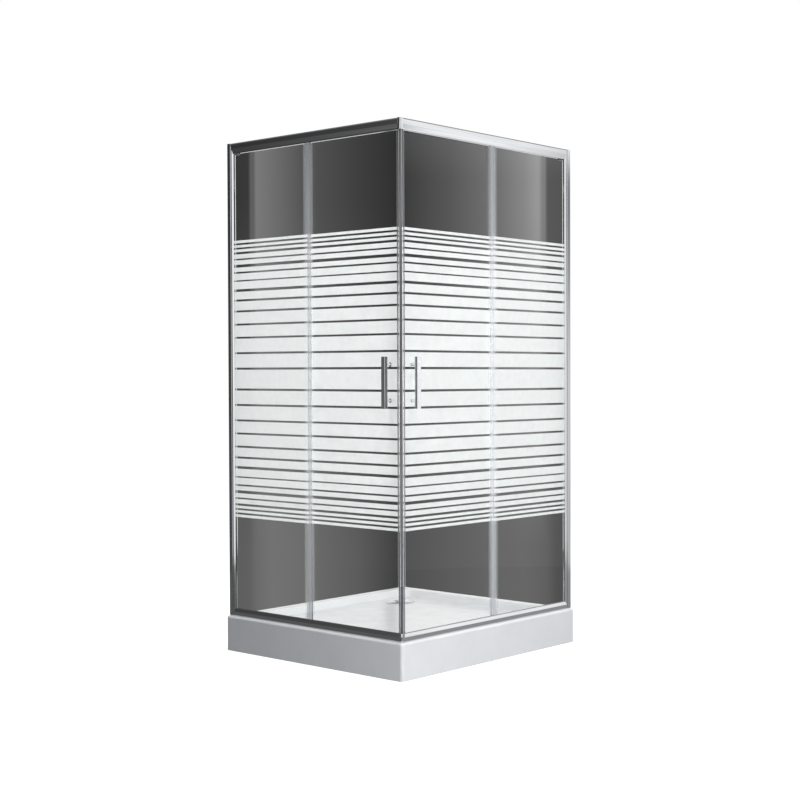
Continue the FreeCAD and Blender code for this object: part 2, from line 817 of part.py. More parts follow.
def make_corner_blocks():
    tongue_top = top - named.crown_height - named.tongue_fit
    tongue_low = tongue_top - named.tongue_height
    make_corner_block("TopBlock", "top_corner_connector", top - named.top_rail_height, top,
                      fixed_in - named.tongue_fit, tongue_low, named.tongue_height,
                      tongue_top - named.tongue_height / 2, named.screw_bite)
    low = named.rail_wall + named.tongue_fit
    make_corner_block("BottomBlock", "bottom_corner_connector", zero, named.bottom_rail_height,
                      named.bottom_seat_start - named.tongue_fit, low, named.tongue_height,
                      low + named.tongue_height * low_screw_share, named.screw_bite / 2)


def make_fixed_glass():
    glass = side_body("FixedGlass")
    groove = post_end - named.post_groove
    pad(glass, "XY_Plane", named.bottom_seat_height, top - named.top_glass_drop,
        rectangle(groove, named.fixed_glass_depth, named.fixed_edge_reach - named.seal_wall, fixed_in))
    keep_pair(glass, "fixed_glass")


def door_front():
    return run - named.leading_glass_gap


def roller_places():
    return [door_front() - named.roller_inset, door_tail + named.roller_inset]


def top_axle_height():
    return top - named.track_drop + named.roller_gap + named.top_roller_radius


def bottom_axle_height():
    return named.lower_track_height + named.roller_gap + named.bottom_roller_radius


def handle_x():
    return named.tray_side - named.handle_from_corner


def handle_heights():
    half = named.handle_spacing / 2
    return [named.handle_height - half, named.handle_height + half]


def make_door_glass():
    glass = side_body("DoorGlass")
    pad(glass, "XY_Plane", named.door_glass_rise, top - named.door_glass_drop,
        rectangle(door_tail + named.seal_wall, named.door_glass_depth, door_front(), door_in))
    for z in (top_axle_height(), bottom_axle_height()):
        drill(glass, "XZ_Plane", named.door_glass_depth, door_in, [(x, z) for x in roller_places()],
              named.bolt_hole_radius)
    drill(glass, "XZ_Plane", named.door_glass_depth, door_in, [(handle_x(), z) for z in handle_heights()],
          named.handle_bolt_radius + named.bolt_fit)
    keep_pair(glass, "door_glass")


# the printed bands as thin blocks on a pane's outer face
def print_bands(name, x_low, x_high, face):
    total = sum(print_shares)
    middle = named.print_low + named.print_height / 2
    half = named.print_height / 2
    bands = []
    reached = 0
    for index, share in enumerate(print_shares):
        if index % 2 == 0:
            near = half * (reached / total)
            height = half * (share / total)
            if index == 0:
                spans = [(middle - height, height * 2)]
            else:
                spans = [(middle + near, height), (middle - near - height, height)]
            for side, (low, tall) in enumerate(spans):
                band = document.addObject("Part::Box", name + str(index) + "Band" + str(side))
                bind(band, "Length", x_high - x_low)
                bind(band, "Width", named.print_thickness)
                bind(band, "Height", tall)
                place(band, x_low - half_side, face - frame_face - named.print_thickness,
                      low + named.tray_height)
                bands.append(band)
        reached += share
    return group(name, bands)


def make_prints():
    margin = named.print_margin
    fixed = print_bands("FixedPrint", post_end + margin,
                        named.fixed_edge_reach - named.seal_leg - margin, named.fixed_glass_depth)
    keep_pair(fixed, "fixed_stripes")

    leg_end = run - named.leading_glass_gap - named.leading_seal_leg
    bands = print_bands("DoorPrint", door_tail + named.seal_leg + margin,
                        leg_end - margin, named.door_glass_depth)
    holes = []
    for number, z in enumerate(handle_heights()):
        hole = document.addObject("Part::Cylinder", "PrintHole" + str(number))
        bind(hole, "Radius", named.handle_bolt_radius + named.bolt_fit)
        bind(hole, "Height", named.print_thickness * 3)
        place(hole, handle_x() - half_side, named.door_glass_depth - named.print_thickness * 2 - frame_face,
              z + named.tray_height, inward)
        holes.append(hole)
    pierced = document.addObject("Part::Cut", "PiercedPrint")
    pierced.Base = bands
    pierced.Tool = group("PrintHoles", holes)
    keep_pair(pierced, "door_stripes")


def make_edge_seals():
    wall = named.seal_wall
    fin = named.seal_fin
    rise = named.seal_fin_rise
    fin_wall = named.seal_fin_wall
    reach = named.wiper_reach
    # on the fixed pane: a channel on its free edge, a fin back between the panes and a wiper to the door
    end = named.fixed_edge_reach
    leg = end - named.seal_leg
    out = named.fixed_glass_depth - wall
    back = fixed_in + wall
    tip = named.door_glass_depth - named.print_thickness - named.wiper_gap
    seal = side_body("FixedSeal")
    pad(seal, "XY_Plane", named.bottom_rail_height + named.seal_end_gap,
        top - named.top_rail_height - named.seal_end_gap,
        [(leg, out), (end, out), (end, back), (end + reach, tip), (end + reach - fin_wall, tip),
         (end - wall, back), (leg, back), (leg - fin, back + rise), (leg - fin, back + rise - fin_wall),
         (leg, back - fin_wall), (leg, fixed_in), (end - wall, fixed_in),
         (end - wall, named.fixed_glass_depth), (leg, named.fixed_glass_depth)])
    keep_pair(seal, "fixed_edge_seal")

    # on the door: the same channel turned round on its trailing edge
    end = door_tail
    leg = end + named.seal_leg
    out = named.door_glass_depth - wall
    back = door_in + wall
    tip = fixed_in + named.wiper_gap
    seal = side_body("TrailingSeal")
    pad(seal, "XY_Plane", named.bottom_web_height + named.seal_end_gap,
        top - named.top_web_drop - named.seal_end_gap,
        [(end, back), (end, out), (end - reach, tip), (end - reach + fin_wall, tip), (end + wall, out),
         (leg, out), (leg + fin, out - rise), (leg + fin, out - rise + fin_wall),
         (leg, out + fin_wall), (leg, named.door_glass_depth), (end + wall, named.door_glass_depth),
         (end + wall, door_in), (leg, door_in), (leg, back)])
    keep_pair(seal, "trailing_seal")


def make_magnetic_seals():
    wall = named.seal_wall
    out = named.door_glass_depth - wall
    back = door_in + wall
    front = door_front()
    leg = front - named.leading_seal_leg
    gap = named.magnet_gap
    width = named.magnet_width
    low = named.bottom_web_height + named.seal_end_gap
    high = top - named.top_web_drop - named.seal_end_gap
    seal = side_body("MagneticSeal")
    pad(seal, "XY_Plane", low, high,
        [(run - out - gap - width, out), (leg, out), (leg, named.door_glass_depth),
         (front, named.door_glass_depth), (front, door_in), (leg, door_in), (leg, back),
         (run - back - gap - width, back)])
    keep_pair(seal, "magnetic_seal")
    strip = side_body("MagnetStrip")
    pad(strip, "XY_Plane", low, high,
        [(run - out - gap, out), (run - out - gap - width, out),
         (run - back - gap - width, back), (run - back - gap, back)])
    keep_pair(strip, "magnet_strip")


# one bolt: head outside the glass, boss and axle inside it, with the roller's running length
def make_roller_bolt(name, x, z, axle, width):
    outside = named.door_glass_depth
    boss = door_in + named.bolt_boss_length
    shank = named.bolt_hole_radius - named.bolt_fit
    wheel_end = boss + width + named.roller_gap * 2
    bolt = side_round(name, x, zero, z)
    turn(bolt, [(zero, outside - named.bolt_head_thickness),
                (named.bolt_head_radius - named.bolt_head_thickness / 2, outside - named.bolt_head_thickness),
                (named.bolt_head_radius, outside), (shank, outside), (shank, door_in),
                (named.bolt_boss_radius, door_in), (named.bolt_boss_radius, boss), (axle, boss),
                (axle, wheel_end), (named.bolt_end_radius, wheel_end),
                (named.bolt_end_radius, wheel_end + named.bolt_end_thickness),
                (zero, wheel_end + named.bolt_end_thickness)])
    return bolt


def make_rollers():
    start = door_in + named.bolt_boss_length + named.roller_gap
    edge = named.roller_edge
    levels = (
        ("top", top_axle_height(), named.top_axle_radius, named.top_roller_width, named.top_roller_radius),
        ("bottom", bottom_axle_height(), named.bottom_axle_radius, named.bottom_roller_width,
         named.bottom_roller_radius),
    )
    for level, z, axle, width, radius in levels:
        bolts = []
        bore = axle + named.axle_fit
        for place_name, x in zip(("front", "rear"), roller_places()):
            key = level.title() + place_name.title()
            bolts.append(make_roller_bolt(key + "Bolt", x, z, axle, width))
            wheel = side_round(key + "Roller", x, start, z)
            section = [(bore, zero), (radius - edge, zero), (radius, edge)]
            if level == "top":
                # a groove that runs over the track's bead
                middle = width / 2
                groove = named.bead_height
                half_floor = named.bead_top / 2 + named.roller_gap
                half_mouth = named.bead_base / 2 + named.roller_gap * 2
                section += [(radius, middle - half_mouth), (radius - groove, middle - half_floor),
                            (radius - groove, middle + half_floor), (radius, middle + half_mouth)]
            section += [(radius, width - edge), (radius - edge, width), (bore, width)]
            turn(wheel, section)
            keep_pair(wheel, level + "_" + place_name + "_roller")
        keep_pair(group(level.title() + "Bolts", bolts), level + "_roller_bolts")


# rubber blocks on the upper track that stop the front roller at the corner and the rear one at the wall
def make_stops():
    front, rear = roller_places()
    reach = named.top_roller_radius + named.stop_gap
    track = top - named.track_drop
    near = door_in + named.bolt_boss_length + named.roller_gap
    inner = named.rail_depth - named.rail_wall
    stops = []
    travel = door_tail - post_end - named.tail_clearance
    rear_end = rear - travel - reach
    for name, x_low in (("CornerStop", front + reach), ("WallStop", rear_end - named.stop_length)):
        stop = side_body(name)
        pad(stop, "XY_Plane", track + named.bead_height, track + named.stop_height,
            rectangle(x_low, near, x_low + named.stop_length, inner))
        stops.append(stop)
    keep_pair(group("Stops", stops), "door_stops")


def make_handle():
    handle = side_body("Handle")
    x = handle_x()
    face = named.door_glass_depth - named.print_thickness
    centre = named.door_glass_depth - named.handle_standoff
    bar_in = centre + named.handle_thickness / 2
    half = named.handle_width / 2
    pad(handle, "XY_Plane", named.handle_height - named.handle_length / 2,
        named.handle_height + named.handle_length / 2,
        rounded(x - half, centre - named.handle_thickness / 2, x + half, bar_in, named.handle_edge_radius))
    overlap = named.handle_rose_thickness
    for z in handle_heights():
        sketch = new_sketch(handle, "XZ_Plane", bar_in - overlap)
        add_circle(sketch, x, z, named.handle_post_radius)
        run_feature(handle, "Pad", "XZ_Plane", sketch, face - bar_in + overlap)
        sketch = new_sketch(handle, "XZ_Plane", face - named.handle_rose_thickness)
        add_circle(sketch, x, z, named.handle_rose_radius)
        run_feature(handle, "Pad", "XZ_Plane", sketch, named.handle_rose_thickness)
    drill(handle, "XZ_Plane", face - named.handle_bolt_bite, face, [(x, z) for z in handle_heights()],
          named.handle_bolt_radius + named.axle_fit)
    keep_pair(handle, "door_handle")

    fixings = []
    thickness = named.handle_cap_thickness
    for number, z in enumerate(handle_heights()):
        fixing = side_round("HandleFixing" + str(number), x, zero, z)
        tip = face - named.handle_bolt_bite + named.stop_gap
        turn(fixing, [(zero, tip), (named.handle_bolt_radius, tip), (named.handle_bolt_radius, door_in),
                      (named.handle_rose_radius, door_in),
                      (named.handle_rose_radius, door_in + thickness - named.handle_cap_edge),
                      (named.handle_rose_radius - named.handle_cap_edge, door_in + thickness),
                      (zero, door_in + thickness)])
        fixings.append(fixing)
    keep_pair(group("HandleFixings", fixings), "handle_fixings")


make_tray()
make_feet()
make_waste()
make_wall_profile()
make_frame_post()
make_top_rail()
make_bottom_rail()
make_end_caps()
make_corner_blocks()
make_screws()
make_fixed_glass()
make_door_glass()
make_prints()
make_edge_seals()
make_magnetic_seals()
make_rollers()
make_stops()
make_handle()
document.recompute()

for thing in document.Objects:
    if "Invalid" in thing.State or "Error" in thing.State:
        raise RuntimeError(thing.Label + " could not be computed")
for thing in kept:
    if thing.Shape.isNull() or not thing.Shape.isValid():
        raise RuntimeError(thing.Label + " has no valid shape")

os.makedirs("parts", exist_ok=True)
for thing in kept:
    thing.Shape.exportStep("parts/" + thing.Label + ".step")
print(len(kept), "nodes written")
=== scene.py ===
import math
import bpy
from mathutils import Matrix, Vector

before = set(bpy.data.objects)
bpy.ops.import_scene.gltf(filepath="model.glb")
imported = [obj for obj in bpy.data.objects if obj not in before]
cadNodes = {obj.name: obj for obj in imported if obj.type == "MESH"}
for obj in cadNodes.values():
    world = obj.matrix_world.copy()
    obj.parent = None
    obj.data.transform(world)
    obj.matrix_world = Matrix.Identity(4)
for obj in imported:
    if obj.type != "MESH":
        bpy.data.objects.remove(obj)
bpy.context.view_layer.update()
print("frame loaded")


# an sRGB hex colour as the linear RGBA that the shaders take
def linear(code):
    parts = [int(code[i:i + 2], 16) / 255 for i in (1, 3, 5)]
    return [p / 12.92 if p <= 0.04045 else ((p + 0.055) / 1.055) ** 2.4 for p in parts] + [1]


# an sRGB grey from 0 to 255
def grey(level):
    return linear("#" + ("%02x" % level) * 3)


# adds a node with its settings; an input is given a value or the socket to link from
def addNode(tree, kind, inputs=None, **settings):
    node = tree.nodes.new(kind)
    for name, value in settings.items():
        setattr(node, name, value)
    for name, value in (inputs or {}).items():
        if isinstance(value, bpy.types.NodeSocket):
            tree.links.new(value, node.inputs[name])
        else:
            node.inputs[name].default_value = value
    return node


def newTree(name):
    material = bpy.data.materials.new(name)
    material.use_nodes = True
    material.node_tree.nodes.clear()
    return material, material.node_tree


def bothSides(*names):
    return [side + "_" + name for side in ("left", "right") for name in names]


# what all noise patterns share: how rough they are, and the part of their range that is used
noiseCut = {"roughness": 0.55, "from": 0.3, "to": 0.7}
# shifts that keep a finish's own patterns from lying on each other
apart = {"colour": 1, "roughness": 7, "relief": 13}


# noise on the object's own coordinates, its grain in millimetres, longer along a stretched axis
def grainNoise(tree, grain, stretch, shift, detail=3):
    here = addNode(tree, "ShaderNodeTexCoord").outputs["Object"]
    there = addNode(tree, "ShaderNodeMapping", {
        "Vector": here, "Location": (shift, shift / 2, shift / 3),
        "Scale": [1 / s for s in stretch]}).outputs["Vector"]
    return addNode(tree, "ShaderNodeTexNoise", {
        "Vector": there, "Scale": 1000 / grain, "Detail": detail,
        "Roughness": noiseCut["roughness"]}).outputs["Fac"]


# the same noise, wandering between two values
def wander(tree, grain, stretch, shift, low, high):
    noise = grainNoise(tree, grain, stretch, shift)
    return addNode(tree, "ShaderNodeMapRange", {
        "Value": noise, "From Min": noiseCut["from"], "From Max": noiseCut["to"],
        "To Min": low, "To Max": high}).outputs["Result"]


# a surface whose colour and roughness wander over a fine relief; patch (of colour), smudge (of
# roughness), grain and relief (of the bumps) are in millimetres
def makeSurface(name, look):
    material, tree = newTree(name)
    stretch = look.get("stretch", (1, 1, 1))
    share = wander(tree, look["patch"], stretch, apart["colour"], 0, 1)
    pale, dim = (linear(code) for code in look["colours"])
    colour = addNode(tree, "ShaderNodeMix", {0: share, 6: pale, 7: dim}, data_type="RGBA").outputs[2]
    rough = wander(tree, look["smudge"], stretch, apart["roughness"], *look["roughness"])
    height = grainNoise(tree, look["grain"], stretch, apart["relief"], detail=2)
    bump = addNode(tree, "ShaderNodeBump", {
        "Height": height, "Strength": 1, "Distance": look["relief"] / 1000})
    shown = addNode(tree, "ShaderNodeBsdfPrincipled", {
        "Base Color": colour, "Roughness": rough, "Normal": bump.outputs["Normal"],
        **look.get("more", {})})
    if "glow" in look:
        # light from behind comes through, as it does through a thin milky layer
        behind = addNode(tree, "ShaderNodeBsdfTranslucent", {"Color": colour})
        shown = addNode(tree, "ShaderNodeMixShader", {
            0: look["glow"], 1: shown.outputs[0], 2: behind.outputs[0]})
    addNode(tree, "ShaderNodeOutputMaterial", {"Surface": shown.outputs[0]})
    return material


# the bevel on sharp edges: loose triangles are first joined within a length in metres
edge = {"joinWithin": 0.00001, "segments": 2, "sharpFromDegrees": 35}


# gives CAD nodes a material, and where ease is set, eases their sharp edges by that many millimetres
def dress(names, material, ease=0):
    for name in names:
        node = cadNodes[name]
        node.data.materials.clear()
        node.data.materials.append(material)
        if ease:
            join = node.modifiers.new("join", "WELD")
            join.merge_threshold = edge["joinWithin"]
            soften = node.modifiers.new("soften", "BEVEL")
            soften.width = ease / 1000
            soften.segments = edge["segments"]
            soften.limit_method = "ANGLE"
            soften.angle_limit = math.radians(edge["sharpFromDegrees"])
            soften.use_clamp_overlap = True
            soften.harden_normals = True


# cast acrylic, vacuum formed: glossy, and a faint orange peel breaks up the reflections on the rim
acrylic = makeSurface("gloss acrylic, vacuum formed", {
    "colours": ("#eff0f1", "#e9eaec"), "patch": 160, "smudge": 60, "roughness": (0.14, 0.24),
    "grain": 6, "relief": 0.01, "more": {"IOR": 1.49, "Coat Weight": 0.4, "Coat Roughness": 0.08}})
dress(["tray"], acrylic)

# extruded aluminium, polished and bright anodised: near mirror, with fine draw lines lengthways
drawnParts = {
    "x": ["left_top_rail", "left_bottom_rail"],
    "y": ["right_top_rail", "right_bottom_rail"],
    "z": ["top_corner_connector", "bottom_corner_connector"] + bothSides("wall_profile", "frame_post")}
for axis, names in drawnParts.items():
    aluminium = makeSurface("bright anodised aluminium, drawn along " + axis, {
        "colours": ("#e6e7e9", "#d9dbde"), "patch": 6, "smudge": 9,
        "stretch": [40 if letter == axis else 1 for letter in "xyz"], "roughness": (0.07, 0.13),
        "grain": 1.2, "relief": 0.0015, "more": {"Metallic": 1}})
    dress(names, aluminium, ease=0.4)

# chrome plate, buffed: nearly a mirror, with faint wiping marks
chrome = makeSurface("chrome plate, buffed", {
    "colours": ("#eceef0", "#e2e5e8"), "patch": 30, "smudge": 14, "roughness": (0.04, 0.1),
    "grain": 2, "relief": 0.001, "more": {"Metallic": 1}})
dress(["waste_flange", "waste_cover"] + bothSides("door_handle", "handle_fixings"), chrome)

# fired ceramic print: satin white with a slight tooth, thin enough to let light through
ceramicPrint = makeSurface("ceramic print, fired on glass", {
    "colours": ("#eeefef", "#e9eaea"), "patch": 25, "smudge": 10, "roughness": (0.35, 0.5),
    "grain": 0.6, "relief": 0.003, "glow": 0.82})
dress(bothSides("fixed_stripes", "door_stripes"), ceramicPrint)


# flexible vinyl, extruded: thin enough to see through, with a milky haze that catches the light
def makeVinyl(name, look):
    material, tree = newTree(name)
    share = wander(tree, look["cloud"], look["stretch"], look["cloudShift"], *look["clear"])
    rough = wander(tree, look["smudge"], look["stretch"], look["smudgeShift"], *look["roughness"])
    haze = addNode(tree, "ShaderNodeBsdfPrincipled", {
        "Base Color": linear(look["haze"]), "Roughness": rough, "IOR": look["ior"],
        "Specular IOR Level": look["gloss"]})
    inside = addNode(tree, "ShaderNodeBsdfTranslucent", {"Color": linear(look["inside"])})
    milky = addNode(tree, "ShaderNodeMixShader", {
        0: look["throughLight"], 1: haze.outputs[0], 2: inside.outputs[0]})
    clear = addNode(tree, "ShaderNodeBsdfTransparent")
    shown = addNode(tree, "ShaderNodeMixShader", {0: share, 1: milky.outputs[0], 2: clear.outputs[0]})
    addNode(tree, "ShaderNodeOutputMaterial", {"Surface": shown.outputs[0]})
    return material


vinyl = makeVinyl("milky vinyl, extruded", {
    "haze": "#f4f5f8", "inside": "#f0f4fa", "throughLight": 0.45, "clear": (0.86, 0.89),
    "stretch": (1, 1, 30), "cloud": 14, "cloudShift": 5, "smudge": 10, "smudgeShift": 9,
    "roughness": (0.2, 0.32), "ior": 1.45, "gloss": 0.4})
dress(bothSides("fixed_edge_seal", "trailing_seal", "magnetic_seal"), vinyl)

# magnetic rubber strip, extruded: dull and dark grey
magnet = makeSurface("magnetic rubber, extruded", {
    "colours": ("#3a3e45", "#30343a"), "patch": 12, "smudge": 8, "stretch": (1, 1, 20),
    "roughness": (0.4, 0.55), "grain": 1, "relief": 0.005})
dress(bothSides("magnet_strip"), magnet)

# nylon, moulded: off-white and waxy
nylon = makeSurface("nylon, moulded", {
    "colours": ("#eceae2", "#e2e0d7"), "patch": 8, "smudge": 5, "roughness": (0.35, 0.5),
    "grain": 0.8, "relief": 0.005, "more": {"IOR": 1.53}})
dress(bothSides("top_front_roller", "top_rear_roller", "bottom_front_roller", "bottom_rear_roller"),
      nylon)

# zinc plated steel, turned: cool grey with a cloudy passivation
zinc = makeSurface("zinc plated steel, turned", {
    "colours": ("#b9bdc4", "#a3a8b2"), "patch": 7, "smudge": 4, "roughness": (0.25, 0.4),
    "grain": 0.7, "relief": 0.004, "more": {"Metallic": 1}})
dress(["tray_leg_studs", "tray_leg_nuts"], zinc, ease=0.4)
dress(bothSides("top_roller_bolts", "bottom_roller_bolts"), zinc)

# stainless screws, cold headed: bright with a soft satin
stainless = makeSurface("stainless steel, cold headed", {
    "colours": ("#c9cbce", "#b7babd"), "patch": 4, "smudge": 3, "roughness": (0.2, 0.34),
    "grain": 0.5, "relief": 0.003, "more": {"Metallic": 1}})
dress(["post_screws", "corner_screws"], stainless)

# grey plastic caps, moulded: dull, with a spark-eroded grain
capPlastic = makeSurface("grey plastic, moulded", {
    "colours": ("#8f9297", "#868a8f"), "patch": 14, "smudge": 6, "roughness": (0.4, 0.52),
    "grain": 0.5, "relief": 0.01})
dress(bothSides("top_end_cap", "bottom_end_cap"), capPlastic, ease=0.5)

# black rubber, moulded: matt
rubber = makeSurface("black rubber, moulded", {
    "colours": ("#222325", "#1a1b1c"), "patch": 10, "smudge": 6, "roughness": (0.55, 0.7),
    "grain": 0.6, "relief": 0.012})
dress(["tray_leg_pads", "waste_gasket"] + bothSides("door_stops"), rubber)

# white polypropylene, moulded: a little waxy
polypropylene = makeSurface("white polypropylene, moulded", {
    "colours": ("#e4e5e6", "#dcddde"), "patch": 30, "smudge": 12, "roughness": (0.38, 0.5),
    "grain": 0.9, "relief": 0.01})
dress(["waste_trap"], polypropylene)

# raw chipboard, pressed: mottled flakes of wood
chipboard = makeSurface("chipboard, pressed and raw", {
    "colours": ("#b89468", "#8c6a43"), "patch": 4, "smudge": 5, "roughness": (0.7, 0.9),
    "grain": 1.5, "relief": 0.15})
dress(["tray_base_board"], chipboard)


# float glass, toughened: clear panes that only what is behind them colours, with a faint wiped film
def makeGlass(name, look):
    material, tree = newTree(name)
    film = wander(tree, look["film"], (1, 1, 1), look["filmShift"], *look["roughness"])
    shown = addNode(tree, "ShaderNodeBsdfPrincipled", {
        "Base Color": linear(look["colour"]), "Roughness": film, "Transmission Weight": 1,
        "IOR": look["ior"], "Specular Tint": linear(look["mirrors"])})
    addNode(tree, "ShaderNodeOutputMaterial", {"Surface": shown.outputs[0]})
    return material


glass = makeGlass("clear float glass, toughened", {
    "colour": "#f8f9f8", "mirrors": "#969696", "ior": 1.52, "film": 90, "filmShift": 3,
    "roughness": (0.0, 0.012)})
dress(bothSides("fixed_glass", "door_glass"), glass)

# the lamps' light reaches the tray past the panes, as it does through real clear glass, so the panes
# and what is fixed to them cast no shadow
for name in bothSides("fixed_glass", "door_glass", "fixed_stripes", "door_stripes", "door_handle",
                      "fixed_edge_seal", "trailing_seal", "magnetic_seal"):
    cadNodes[name].visible_shadow = False
for name in bothSides("fixed_glass", "door_glass"):
    cadNodes[name].visible_diffuse = False
print("materials set")


# from here on greys are sRGB, directions are degrees from +X towards +Y, and powers are watts

# fills a colour ramp from pairs of a place and a grey
def fillRamp(ramp, pairs, low, high):
    elements = ramp.color_ramp.elements
    while len(elements) > 1:
        elements.remove(elements[-1])
    for number, (place, level) in enumerate(pairs):
        share = (place - low) / (high - low)
        element = elements[0] if number == 0 else elements.new(share)
        element.position = share
        element.color = grey(level)


# the place on a stage piece, and its direction from the middle in radians
def placeAndTurn(tree):
    here = addNode(tree, "ShaderNodeTexCoord").outputs["Object"]
    place = addNode(tree, "ShaderNodeSeparateXYZ", {0: here}).outputs
    turn = addNode(tree, "ShaderNodeMath", {0: place["Y"], 1: place["X"]}, operation="ARCTAN2")
    return place, turn.outputs[0]


# ends the material of a stage piece that shines by itself
def shine(tree, colour, strength):
    glow = addNode(tree, "ShaderNodeEmission", {"Color": colour, "Strength": strength})
    addNode(tree, "ShaderNodeOutputMaterial", {"Surface": glow.outputs[0]})


def ring(radius, height, sides):
    return [(radius * math.cos(2 * math.pi * i / sides), radius * math.sin(2 * math.pi * i / sides),
             height) for i in range(sides)]


def showOnlyTo(thing, *kinds):
    for kind in ("camera", "diffuse", "glossy", "transmission", "volume_scatter", "shadow"):
        setattr(thing, "visible_" + kind, kind in kinds)


def addStage(name, vertices, faces, material, *kinds):
    mesh = bpy.data.meshes.new(name)
    mesh.from_pydata(vertices, [], faces)
    mesh.materials.append(material)
    thing = bpy.data.objects.new(name, mesh)
    bpy.context.scene.collection.objects.link(thing)
    showOnlyTo(thing, *kinds)
    return thing


# the floor is pale and shows only a soft shade where the object stands
floor = {"side": 80, "matt": 250, "glow": 1.9, "glowShare": 0.5}
floorLook, tree = newTree("pale studio floor")
matt = addNode(tree, "ShaderNodeBsdfDiffuse", {"Color": grey(floor["matt"])})
glow = addNode(tree, "ShaderNodeEmission", {"Color": grey(255), "Strength": floor["glow"]})
shown = addNode(tree, "ShaderNodeMixShader", {
    0: floor["glowShare"], 1: matt.outputs[0], 2: glow.outputs[0]})
addNode(tree, "ShaderNodeOutputMaterial", {"Surface": shown.outputs[0]})
half = floor["side"] / 2
corners = [(-half, -half, 0), (half, -half, 0), (half, half, 0), (-half, half, 0)]
addStage("floor", corners, [(0, 1, 2, 3)], floorLook, "camera")

# the dark surround is a drum that only rays through glass can see: it glows with painted shade, and a
# few painted lighter streaks, that the panes show behind the object; its greys go by direction, and
# over from the lower ones to the upper ones between two heights in metres
drum = {
    "radius": 3.4, "bottom": -2.5, "top": 6, "sides": 128, "strength": 1.1,
    "from": 100, "to": 170, "lowerAt": 0, "upperAt": 2.2,
    "upper": ((100, 76), (117, 79), (119.4, 84), (119.7, 126), (120.1, 128), (120.3, 154), (122, 134),
              (124.8, 110), (126.1, 107), (130, 84), (134.9, 56), (135.4, 42), (136.3, 48), (140, 62),
              (143.5, 76), (145.8, 84), (148, 104), (150.66, 123), (150.78, 94), (151.2, 95),
              (151.3, 56), (154, 48), (170, 56)),
    "lower": ((100, 76), (117, 70), (118.5, 76), (119.6, 92), (122, 100), (126, 96), (130, 88),
              (134.9, 76), (135.4, 56), (136.3, 66), (140, 90), (145.8, 108), (149, 114),
              (150.8, 106), (151.4, 96), (152, 94), (154, 92), (170, 70))}
drumLook, tree = newTree("dark surround")
place, turn = placeAndTurn(tree)
share = addNode(tree, "ShaderNodeMapRange", {
    "Value": turn, "From Min": math.radians(drum["from"]), "From Max": math.radians(drum["to"])})
greys = {}
for level in ("lower", "upper"):
    ramp = addNode(tree, "ShaderNodeValToRGB", {"Fac": share.outputs["Result"]})
    fillRamp(ramp, drum[level], drum["from"], drum["to"])
    greys[level] = ramp.outputs["Color"]
rise = addNode(tree, "ShaderNodeMapRange", {
    "Value": place["Z"], "From Min": drum["lowerAt"], "From Max": drum["upperAt"]})
shown = addNode(tree, "ShaderNodeMix", {
    0: rise.outputs["Result"], 6: greys["lower"], 7: greys["upper"]}, data_type="RGBA")
shine(tree, shown.outputs[2], drum["strength"])
sides = drum["sides"]
points = ring(drum["radius"], drum["bottom"], sides) + ring(drum["radius"], drum["top"], sides)
faces = [(i, (i + 1) % sides, sides + (i + 1) % sides, sides + i) for i in range(sides)]
faces += [tuple(range(sides)), tuple(range(sides, 2 * sides))]
addStage("darkSurround", points, faces, drumLook, "transmission")


# the greys of a direction of the dome that differs from the plain ones only in a band at eye level
def band(level):
    return (-90, 130), (0, level), (20, level), (45, 130), (90, 130)


# the dome is what polished surfaces mirror: for each direction, the greys by elevation in degrees,
# and between two directions they go over from one to the next
dome = {
    "radius": 11, "middle": 1, "rows": 24, "columns": 48, "strength": 1.2,
    "mirrored": (
        (-100, ((-90, 150), (0, 110), (40, 110), (90, 130))),
        (-92, ((-90, 200), (-10, 240), (0, 255), (45, 255), (70, 180), (90, 130))),
        (3, ((-90, 180), (-10, 190), (0, 225), (15, 225), (60, 180), (90, 130))),
        (20, ((-90, 90), (0, 55), (40, 70), (90, 130))),
        (38, ((-90, 90), (0, 55), (40, 70), (90, 130))),
        (40.5, ((-90, 180), (-7, 205), (0, 190), (7, 130), (12, 120), (14, 250), (45, 250),
                (70, 160), (90, 110))),
        (42, ((-90, 180), (-7, 192), (-3, 250), (4, 255), (7, 130), (12, 120), (14, 255),
              (70, 160), (90, 110))),
        (46, ((-90, 180), (-7, 188), (-3, 250), (4, 255), (7, 130), (12, 120), (14, 255),
              (70, 160), (90, 110))),
        (51.5, ((-90, 180), (-7, 188), (0, 198), (7, 150), (12, 120), (14, 255), (70, 160),
                (90, 110))),
        (70, ((-90, 160), (0, 190), (45, 190), (90, 130))),
        (95, band(105)), (118, band(200)), (128, band(240)), (135.3, band(232)), (135.7, band(120)),
        (136.1, band(120)), (136.5, band(225)), (150, band(220)), (162, band(110)),
        (200, ((-90, 130), (0, 90), (20, 70), (90, 130))),
        (218, ((-90, 130), (-7, 58), (0, 56), (14, 48), (45, 110), (90, 130))),
        (223, ((-90, 130), (-7, 92), (0, 76), (14, 58), (45, 112), (90, 130))),
        (228.5, ((-90, 130), (-7, 116), (0, 92), (14, 62), (45, 116), (90, 130))),
        (245, ((-90, 130), (0, 92), (20, 92), (90, 130))),
        (260, ((-90, 150), (0, 110), (40, 110), (90, 130))))}
domeLook, tree = newTree("mirrored surround")
place, turn = placeAndTurn(tree)
flat = addNode(tree, "ShaderNodeMath", {0: place["X"], 1: place["X"]}, operation="MULTIPLY")
flat = addNode(tree, "ShaderNodeMath", {0: place["Y"], 1: place["Y"], 2: flat.outputs[0]},
               operation="MULTIPLY_ADD")
flat = addNode(tree, "ShaderNodeMath", {0: flat.outputs[0]}, operation="SQRT")
rise = addNode(tree, "ShaderNodeMath", {0: place["Z"], 1: flat.outputs[0]}, operation="ARCTAN2")
share = addNode(tree, "ShaderNodeMapRange", {
    "Value": rise.outputs[0], "From Min": -math.pi / 2, "From Max": math.pi / 2})
